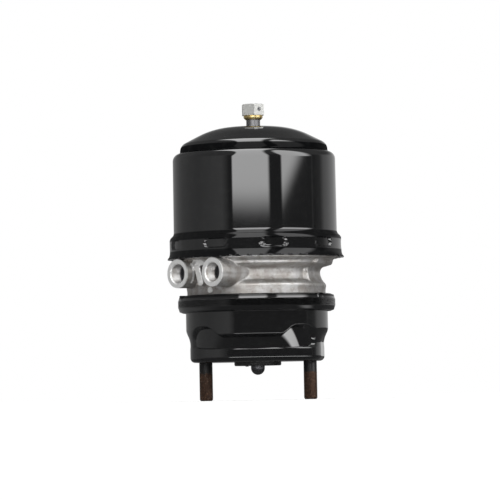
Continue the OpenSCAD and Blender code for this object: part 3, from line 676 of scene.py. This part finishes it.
def foot_line(a):
    """Distance from the axis to the foot's outline in the direction a.

    The outline has a bulged front and back, straight sides and round corners.
    """
    u, v = abs(math.cos(a)), abs(math.sin(a))
    low_r, corner_r = FOOT_FRONT_R, FOOT_CORNER_R
    low_y = FOOT_HALF_D + FOOT_BULGE - low_r
    corner_x = FOOT_HALF_W - corner_r
    corner_y = low_y + math.sqrt((low_r - corner_r) ** 2 - corner_x ** 2)
    front = low_y * v + math.sqrt((low_y * v) ** 2 - low_y ** 2 + low_r ** 2)
    if front * u * (corner_y - low_y) <= (front * v - low_y) * corner_x:
        return front
    side = FOOT_HALF_W / u
    if side * v <= corner_y:
        return side
    p = corner_x * u + corner_y * v
    return p + math.sqrt(p * p - (corner_x ** 2 + corner_y ** 2 - corner_r ** 2))


def soft_min(a, b):
    """The smaller of two radii, with a soft change between them."""
    return (a + b - math.sqrt((a - b) ** 2 + 4)) / 2


def ledge(t):
    """From 0 to 1 at an even slope, with a wide hollow at 0 and a tight round edge at 1."""
    hollow, edge = 0.45, 0.18
    slope = 1 / (1 - (hollow + edge) / 2)
    t = max(0.0, min(1.0, t))
    if t < hollow:
        return slope * t * t / (2 * hollow)
    if t > 1 - edge:
        return 1 - slope * (1 - t) ** 2 / (2 * edge)
    return slope * (t - hollow / 2)


def pot_line(a, z):
    """Outer radius of the pot in the direction a at the height z."""
    side = math.degrees(math.atan2(abs(math.sin(a)), abs(math.cos(a))))
    front = smooth((side - 20) / 30)
    off = abs(side - 45) / DENT_HALF_TURN
    dent = smooth(math.cos(math.radians(90 * off))) if off < 1 else 0.0
    low = BAND_H + 4.6 + front * 4.0 + dent * (DENT_RISE - 3.5)
    high = BAND_H + 22.6 - front * 6.5 + dent * (DENT_RISE - (1 - front) * 7)
    foot = foot_line(a)
    wall = soft_min(foot, SERVICE_R) - BAND_GROOVE * front - DENT_DEPTH * dent
    lift = max(FOOT_EDGE_R - z, 0)
    edge = FOOT_EDGE_R - math.sqrt(FOOT_EDGE_R ** 2 - lift ** 2)
    below = foot - edge + (wall - foot) * smooth((z - BAND_H + 1) / 5)
    t = (z - low) / (high - low)
    return below + (SERVICE_R - below) * (front * ledge(t) + (1 - front) * smooth(t))


def service_housing():
    segments = 320
    angles = [2 * math.pi * k / segments for k in range(segments)]

    def pot_ring(z, inset):
        line = [(a, pot_line(a, z) - inset) for a in angles]
        return [(r * math.cos(a), r * math.sin(a), z) for a, r in line]

    def round_ring(r, z):
        return [(r * math.cos(a), r * math.sin(a), z) for a in angles]

    edge = [FOOT_EDGE_R * (1 - math.cos(math.radians(t))) for t in range(0, 91, 9)]
    flange_r = CLAMPED_R
    rings = [round_ring(SEAL_R + 0.05, 0)]
    rings += [pot_ring(z, 0) for z in edge + rows(FOOT_EDGE_R + 0.5, CLAMP_Z - 2.5, 0.5)]
    rings += [round_ring(SERVICE_R + 0.75, CLAMP_Z - 0.75), round_ring(SERVICE_R + 2.5, CLAMP_Z),
              round_ring(flange_r - 2.5, CLAMP_Z), round_ring(flange_r, CLAMP_Z + 2.5),
              round_ring(flange_r, BEAD_Z), round_ring(SERVICE_R - SHEET, BEAD_Z)]
    rings += [pot_ring(z, SHEET) for z in rows(BEAD_Z - 4, SHEET, 4)]
    rings += [round_ring(SEAL_R + 0.05, SHEET)]
    piece("service_housing_pot", to_mesh("service_housing_pot", *skin(rings), 40), "black_paint",
          stands_for=["service_housing"])


# ---- Clamp ring ----

def clamp_ring():
    low, high = CLAMP_Z - SHEET, RING_Z + SHEET
    inner_r = CLAMP_R - SHEET
    lip_r = inner_r - CLAMP_LIP
    shoulder_r = CLAMP_R - CLAMP_SHOULDER
    chamfer = CLAMP_CHAMFER
    outline = rounded([
        (lip_r, low, 0.9), (shoulder_r, low, 2.0), (CLAMP_R, low + CLAMP_SHOULDER, 4.0),
        (CLAMP_R, high - CLAMP_SHOULDER, 4.0), (shoulder_r, high, 2.0), (lip_r, high, 0.9),
        (lip_r, RING_Z), (inner_r - chamfer, RING_Z), (inner_r, RING_Z - chamfer),
        (inner_r, CLAMP_Z + chamfer), (inner_r - chamfer, CLAMP_Z), (lip_r, CLAMP_Z)])

    def shape(a, r, z):
        """Opens the relief notches in the upper lip."""
        if z < RING_Z - 0.1 or r > CLAMP_R - 2.5:
            return r, z
        face = math.degrees(a) + 90
        near = min(abs((face - turn + 180) % 360 - 180) for turn in CLAMP_NOTCHES)
        return r + (CLAMP_R - 3 - r) * smooth((CLAMP_NOTCH_HALF_TURN - near) / 0.8), z

    mesh = turned(steady(outline, 0.5), 720, shape, name="clamp_ring_channel")
    piece("clamp_ring_channel", mesh, "black_paint", stands_for=["clamp_ring"])


# ---- Flange body ----

def port_axes(side, reach):
    """Places things in a port: x across the ports, y up, z outwards from the point at reach."""
    turn = math.radians(PORT_TURN)
    out = Vector((-math.sin(turn), -math.cos(turn), 0))
    across = Vector((math.cos(turn), -math.sin(turn), 0))
    axes = Matrix((across, Vector((0, 0, 1)), out)).transposed().to_4x4()
    middle = across * (side * PORT_SPACING / 2) + out * reach + Vector((0, 0, PORT_Z))
    return Matrix.Translation(middle) @ axes


def waist_relief(a, r, z):
    """The pocket in the waist, from the right port to the rib, and the rib itself."""
    face = (math.degrees(a) + 90 + 180) % 360 - 180
    sector = smooth((face + 27) / 3) * smooth((56.5 - face) / 2.5)
    pocket = 2.6 * smooth((z - PORT_Z + 10.8) / 1.4) * smooth((PORT_Z + 7 - z) / 3)
    hollow = 1.5 * smooth((z - PORT_Z - 3) / 5) * smooth((FLOOR_Z - 2 - z) / 2)
    tall = smooth((z - PORT_Z + 10.5) / 2) * smooth((FLOOR_Z - 2 - z) / 2)
    rib = 1.3 * smooth(1 - abs(face - 58.5) / 2.2) * tall
    return r - sector * (pocket + hollow) + rib, z


def body_core():
    """The machined inside of the flange body, its ring and the rim in the spring housing."""
    edge, chamfer = CLAMPED_R, CLAMP_CHAMFER
    groove_r = RIM_R - GROOVE_DEPTH
    pocket_z = FLOOR_Z - POCKET_DEPTH
    ring = [
        (CAVITY_MOUTH_R, BODY_Z), (edge, BODY_Z), (edge, RING_Z - chamfer),
        (edge - chamfer, RING_Z), (76.8, RING_Z)]
    # hidden in the casting's wall, from the ring up to the rim
    hidden = [
        (76.8, ROOF_Z - 4), (71.5, ROOF_Z + 1), (71.5, FLOOR_Z - 1.8), (88.5, FLOOR_Z - 1.8),
        (93, FLOOR_Z + 0.6)]
    rim = [
        (RIM_R, FLOOR_Z + 0.6), (RIM_R, FLOOR_Z + 3.5), (groove_r, FLOOR_Z + 3.5),
        (groove_r, FLOOR_Z + 6.5), (RIM_R, FLOOR_Z + 6.5), (RIM_R, FLOOR_Z + 10.8),
        (groove_r, FLOOR_Z + 10.8), (groove_r, FLOOR_Z + 22.2), (RIM_R - 0.6, FLOOR_Z + 22.2),
        (92.8, RIM_TOP_Z), (RIM_BORE_R, RIM_TOP_Z), (RIM_BORE_R, FLOOR_Z)]
    pocket = [
        (POCKET_R, FLOOR_Z), (65, FLOOR_Z - 17), (62, pocket_z), (35, pocket_z),
        (33, FLOOR_Z - 17), (HUB_R, FLOOR_Z)]
    hub = [
        (TUBE_HOLE_R, FLOOR_Z), (TUBE_HOLE_R, FLOOR_Z - 3), (BUSH_R, FLOOR_Z - 3),
        (BUSH_R, ROOF_Z - 1), (CLIP_R, ROOF_Z - 1), (CLIP_R, ROOF_Z - 2.5), (BUSH_R, ROOF_Z - 2.5),
        (BUSH_R, ROOF_Z - 4), (HUB_R - 1, ROOF_Z - 4), (HUB_R, ROOF_Z)]
    cavity = [(CAVITY_R - 5, ROOF_Z), (CAVITY_R, ROOF_Z - 5), (CAVITY_R, BODY_Z + 5)]
    return lathe(ring + hidden + rim + pocket + hub + cavity, 240)


def body_casting():
    """The rough casting: the waist with the two port bosses, their web and the pad."""
    cove_z = FLOOR_Z - 16.7
    waist = (
        [(77.5, RING_Z - 3), (NECK_R, RING_Z - 3), (NECK_R, WAIST_Z - 12)]
        + arc((BODY_BEAD_R - 4, WAIST_Z - 7.5), 4, 0, 60, 6)
        + [(WAIST_R + 2, WAIST_Z), (WAIST_R + 0.4, FLOOR_Z - 20)]
        + arc((WAIST_R + 7, cove_z), 7, 180, 90, 10)
        + arc((RIM_R - 10, cove_z + 11), 2.5, 270, 350, 5)
        + [(RIM_R - 6.7, FLOOR_Z - 2.5), (RIM_R - 5.5, FLOOR_Z - 1), (RIM_R - 0.3, FLOOR_Z - 0.5),
           (RIM_R - 0.3, FLOOR_Z + 2), (91.8, FLOOR_Z + 2), (91.8, FLOOR_Z + 0.3),
           (68, FLOOR_Z + 0.3),
           (68, ROOF_Z + 5), (69.5, ROOF_Z + 1.7), (75.2, ROOF_Z - 4), (75.2, RING_Z + 0.2)])
    boss = [(0, WAIST_R - 4), (PORT_BOSS_R, WAIST_R - 22), (PORT_BOSS_R, PORT_REACH + 1),
            (0, PORT_REACH + 1)]
    web_w = PORT_SPACING / 2
    web = slab([(-web_w, -10), (web_w, -10), (web_w, 12), (-web_w, 12)], 17)
    pad = slab(oblong(PAD_L, PAD_W, PAD_TILT), 13)
    solids = [lathe(finely(waist, 1.2), 360, waist_relief)]
    for side in (-1, 1):
        points, faces = lathe(boss, 64)
        solids.append((moved(points, port_axes(side, 0)), faces))
    solids.append((moved(web[0], port_axes(0, WAIST_R - 13)), web[1]))
    shifted = port_axes(0, PAD_REACH - 13) @ Matrix.Translation((PAD_X, 0, 0))
    solids.append((moved(pad[0], shifted), pad[1]))
    tilt = math.radians(PAD_TILT)
    for end in (-1, 1):
        points, faces = lathe([(0, 0), (PIP_R, 0), (PIP_R, 14.2), (0, 14.2)], 20)
        out = Vector((end * PIP_OUT * math.cos(tilt), end * PIP_OUT * math.sin(tilt), 0))
        solids.append((moved(points, shifted @ Matrix.Translation(out)), faces))
    return settled("flange_body_cast", to_mesh("flange_body_cast", *joined(*solids)), [
        ("REMESH", {"mode": "VOXEL", "voxel_size": 0.9 * MM}),
        ("SMOOTH", {"factor": 0.5, "iterations": 4})])


def port_cutters():
    """What the drills and the facing tool take out of the two bosses."""
    thread = []
    for k in range(PORT_THREAD_TURNS):
        thread += [(PORT_BORE_R, -13.4 + THREAD_PITCH * k),
                   (PORT_BORE_R + PORT_THREAD_DEPTH, -12.65 + THREAD_PITCH * k)]
    air_hole = [(0, -PORT_DEPTH - 18), (AIR_HOLE_R, -PORT_DEPTH - 18),
                (AIR_HOLE_R, -PORT_DEPTH - 1.6), (PORT_BORE_R, -PORT_DEPTH)]
    mouth = [(PORT_BORE_R + 0.6, -1.3), (PORT_BORE_R + 1.8, 0), (PORT_BORE_R + 1.8, 0.4), (0, 0.4)]
    facing = [(0, 0), (PORT_BOSS_R + 4, 0), (PORT_BOSS_R + 4, 6), (0, 6)]
    cuts = []
    for side in (-1, 1):
        for name, line in (("bore", air_hole + thread + mouth), ("facing", facing)):
            points, faces = lathe(line, 96)
            placed = moved(points, port_axes(side, PORT_REACH))
            cuts.append(("DIFFERENCE", cutter(name, (placed, faces))))
    return cuts


def flange_body():
    """The casting with its machined parts, and a finish for each: cast, machined, or dark steel
    that paints shade deep in the ports' air holes.
    """
    ribs = []
    half = RIB_T / 2
    for k in range(RIBS):
        turn = Matrix.Rotation(math.radians(360 / RIBS * k), 4, "Z")
        points, faces = slab([(HUB_R - 1, -half), (68, -half), (68, half), (HUB_R - 1, half)], 19)
        ribs.append((moved([(x, y, z + FLOOR_Z - 21) for x, y, z in points], turn), faces))
    cuts = [("UNION", cutter("core", body_core())), ("UNION", cutter("ribs", joined(*ribs)))]
    cuts += port_cutters()
    body = settled("flange_body_casting", body_casting(), [
        ("BOOLEAN", {"operation": operation, "object": cut, "solver": "EXACT"})
        for operation, cut in cuts])
    for operation, cut in cuts:
        bpy.data.objects.remove(cut)
    shade(body, 40)
    piece("flange_body_casting", body, "cast_aluminium", stands_for=["flange_body"])
    body.materials.append(FINISHES["machined_aluminium"].owner)
    # the third finish, dark steel, paints shade into the deep air holes of the ports, which are
    # really drilled aluminium
    body.materials.append(FINISHES["dark_steel"].owner)
    ports = [port_axes(side, PORT_REACH).inverted() for side in (-1, 1)]
    pad_axes = port_axes(0, PAD_REACH).inverted()
    for face in body.polygons:
        centre = face.center / MM
        x, y, z = pad_axes @ centre
        if abs(z) < 1.5 and math.hypot(x - PAD_X, y) < 16:
            face.material_index = 1
        for axes in ports:
            x, y, z = axes @ centre
            out = math.hypot(x, y)
            if out < PORT_BORE_R + 1.3 and -PORT_DEPTH - 20 < z < -1.0:
                # faces below the bore's floor take the dark steel finish: painted shade in the deep
                # air hole
                face.material_index = 0 if z > -PORT_DEPTH + 0.5 else 2
            elif out < PORT_BOSS_R + 1 and z > -1.5:
                face.material_index = 1
        if math.hypot(centre.x, centre.y) > 90.8 and centre.z > FLOOR_Z + 2.2:
            face.material_index = 1


def passage_plug():
    """The pressed plug beside the right port, a little proud of the casting."""
    turn = math.radians(PLUG_TURN)
    out = Vector((-math.sin(turn), -math.cos(turn), 0))
    across = Vector((math.cos(turn), -math.sin(turn), 0))
    axes = Matrix((across, Vector((0, 0, 1)), out)).transposed().to_4x4()
    place = Matrix.Translation(out * (BODY_BEAD_R - 4) + Vector((0, 0, PLUG_Z))) @ axes
    points, faces = lathe([(0, 0), (PLUG_R, 0), (PLUG_R, 4.3), (PLUG_R - 0.5, 4.8), (0, 4.8)], 40)
    mesh = to_mesh("passage_plug_disc", moved(points, place), faces, 30)
    piece("passage_plug_disc", mesh, "machined_aluminium",
          stands_for=["passage_plug"])


# ---- Studs ----

def stud(side, name):
    """A threaded stud whose head stands on the plate inside the foot."""
    pitch = THREAD_PITCH
    head_z = SHEET + BASE_PLATE_T
    top_z = head_z + STUD_HEAD_H
    neck = [(0, top_z), (STUD_HEAD_R - 1, top_z), (STUD_HEAD_R, top_z - 1), (STUD_HEAD_R, head_z),
            (STUD_R + 0.2, head_z), (STUD_R + 0.2, 0.2), (STUD_R - 0.8, 0)]
    threaded = [(STUD_R, z) for z in rows(-0.4, -STUD_LENGTH + 1.6, 0.25)]
    tip = [(STUD_R - 1.6, -STUD_LENGTH), (0, -STUD_LENGTH)]

    def shape(a, r, z):
        """Cuts the thread, with flat crests and roots."""
        if not -STUD_LENGTH + 1 < z < -0.3:
            return r, z
        share = (z / pitch - a / (2 * math.pi)) % 1
        flank = abs(2 * share - 1)
        return r - STUD_THREAD_DEPTH * min(1.0, max(0.0, 1.25 * flank - 0.12)), z

    points, faces = lathe(neck + threaded + tip, 48, shape)
    points = [(x + side * STUD_SPACING / 2, y, z) for x, y, z in points]
    piece(name + "_thread", to_mesh(name, points, faces, 28), "stud_steel", stands_for=[name])


spring_housing()
service_housing()
clamp_ring()
flange_body()
passage_plug()
stud(-1, "stud_left")
stud(1, "stud_right")

for name, node in frame["nodes"].items():
    slot = next(s["material_slot"] for s in frame["record"]["subparts"] if s["node"] == name)
    node.data.materials.clear()
    node.data.materials.append(FINISHES[slot].owner)


# ---- Studio ----

FRAME_W = 0.576
DISTANCE = 4.25
AIM_Z = 0.1289
AIM_SIDE = -0.0065
CAMERA_TURN = 6.0
CAMERA_Z = -0.040
ROLL = 1.11

# How bright the softboxes and the arc on the table are where gloss shows them
FRONT_BOX_LEVEL = 3.8
SIDE_BOX_LEVEL = 3.6
STRIP_LEVEL = 5.0

# Grey of the studio's walls, all the way round from behind the part
WALLS = (
    (0.0, 0.36), (0.08, 0.30), (0.16, 0.24), (0.26, 0.24), (0.33, 0.32), (0.37, 0.36),
    (0.385, 0.24), (0.40, 0.09), (0.76, 0.09), (0.795, 0.16), (0.82, 0.46), (0.88, 0.60),
    (1.0, 0.70))


def set_camera():
    turn, roll = math.radians(CAMERA_TURN), math.radians(ROLL)
    rise = -math.asin((AIM_Z - CAMERA_Z) / DISTANCE)
    across = math.cos(rise)
    back = Vector((math.sin(turn) * across, -math.cos(turn) * across, math.sin(rise)))
    level = Vector((math.cos(turn), math.sin(turn), 0))
    upright = back.cross(level)
    right = level * math.cos(roll) - upright * math.sin(roll)
    up = upright * math.cos(roll) + level * math.sin(roll)
    lens = bpy.data.cameras.new("photo_camera")
    lens.sensor_fit = "HORIZONTAL"
    lens.sensor_width = 36.0
    lens.lens = 36.0 * DISTANCE / FRAME_W
    lens.clip_end = 20.0
    camera = bpy.data.objects.new("photo_camera", lens)
    scene.collection.objects.link(camera)
    axes = Matrix((right, up, back)).transposed().to_4x4()
    aim = Vector((0, 0, AIM_Z)) + level * AIM_SIDE
    camera.matrix_world = Matrix.Translation(aim + back * DISTANCE) @ axes
    scene.camera = camera


def set_floor():
    """Pale for the camera and the light; for gloss a dim table with one bright arc in front."""
    half = 12.0
    mesh = bpy.data.meshes.new("floor")
    z = cad_box[0][2]
    corners = [(-half, -half, z), (half, -half, z), (half, half, z), (-half, half, z)]
    mesh.from_pydata(corners, [], [(0, 1, 2, 3)])
    floor = bpy.data.objects.new("floor", mesh)
    scene.collection.objects.link(floor)
    f = Finish("pale_floor")
    f.set(Base_Color=(0.80, 0.80, 0.80), Roughness=1.0, Specular_IOR_Level=0.0,
          Emission_Color=(1.0, 1.0, 1.0), Emission_Strength=0.25)
    at = f.place()
    side, away = at.part(0), at.part(1)
    reach = f.around()
    bearing = f.bearing(side, -away)
    strip = (reach.between(0.27, 0.31) * reach.between(0.42, 0.46, 1.0, 0.0)
             * bearing.between(-30, -26) * bearing.between(50, 94, 1.0, 0.0))
    dim = 0.10 + side.between(-0.35, -0.15, 0.16, 0.0)
    gloss = f.node(
        "ShaderNodeEmission", {}, {"Color": (1.0, 1.0, 1.0), "Strength": dim + strip * STRIP_LEVEL})
    facing = f.node("ShaderNodeNewGeometry", {}, {}, output="Backfacing")
    clear = f.node("ShaderNodeBsdfTransparent", {}, {})
    top = Value(f, f.shader.outputs[0])
    glossy = f.node("ShaderNodeLightPath", {}, {}, output="Is Glossy Ray")
    seen = f.node("ShaderNodeMixShader", {}, {0: glossy, 1: top, 2: gloss})
    mixed = f.node("ShaderNodeMixShader", {}, {0: facing, 1: seen, 2: clear})
    f.tree.links.new(mixed.socket, f.tree.nodes["Material Output"].inputs["Surface"])
    mesh.materials.append(f.owner)


def set_world():
    """White for the camera; for gloss, two long softboxes in front and dim walls round them."""
    world = bpy.data.worlds.new("studio")
    scene.world = world
    f = Finish("studio", world)
    way = f.node("ShaderNodeTexCoord", {}, {}, output="Generated")
    c, s = math.cos(math.radians(CAMERA_TURN)), math.sin(math.radians(CAMERA_TURN))
    side = way.part(0) * c + way.part(1) * s
    away = way.part(1) * c - way.part(0) * s
    up = way.part(2)
    # turn: 0 in front, 90 on the right; over: 0 behind, 90 overhead, 180 in front
    turn = f.bearing(side, -away)
    over = f.bearing(up, away)
    lateral = side / (away * away + up * up) ** 0.5
    front = away.between(-0.05, 0.05, 1.0, 0.0)
    rise = f.node("ShaderNodeMath", {"operation": "ARCSINE"}, {0: up}) * math.degrees(1)

    walls = f.node(
        "ShaderNodeValToRGB", {"stops": [(place, (grey,) * 3) for place, grey in WALLS]},
        {0: turn / 360 + 0.5})
    ceiling = 0.22 - away.between(0.2, 0.6) * lateral.between(-0.9, -0.5) * 0.07
    low = rise.between(8, 24, 1.0, 0.0)
    surround = walls * low + ceiling * (1 - low)

    past_front = over.between(58, 66)
    in_front = front * (rise.between(3.20, 3.78) - 1) + 1
    left_edge = up * 0.34 - 0.63
    right_edge = up * -0.245 + 0.385
    front_width = ((lateral - left_edge).between(-0.03, 0.03)
                   * (right_edge - lateral).between(-0.05, 0.05))
    front_box = front_width * past_front * in_front
    slant = (turn - 47) * 0.021 + 3.72
    past_side = over.between(33, 38)
    side_bottom = front * ((rise - slant).between(-0.30, 0.30) - 1) + 1
    side_edge = up * -0.57 + 0.84
    side_box = ((lateral - side_edge).between(-0.05, 0.05) * past_side * side_bottom
                * turn.between(76, 92, 1.0, 0.0))
    studio = surround + front_box * FRONT_BOX_LEVEL + side_box * SIDE_BOX_LEVEL

    glossy = f.node("ShaderNodeLightPath", {}, {}, output="Is Glossy Ray")
    camera = f.node("ShaderNodeLightPath", {}, {}, output="Is Camera Ray")
    plain = 0.80 + rise.between(-10, 80, 0.0, 0.30)
    seen = plain * (1 - glossy) + studio * glossy
    background = f.tree.nodes["Background"]
    f.feed(background.inputs["Strength"], seen * (1 - camera) + camera)
    background.inputs["Color"].default_value = (1.0, 1.0, 1.0, 1.0)
    world.cycles.sampling_method = "NONE"


set_camera()
set_floor()
set_world()
scene.view_settings.view_transform = "Standard"
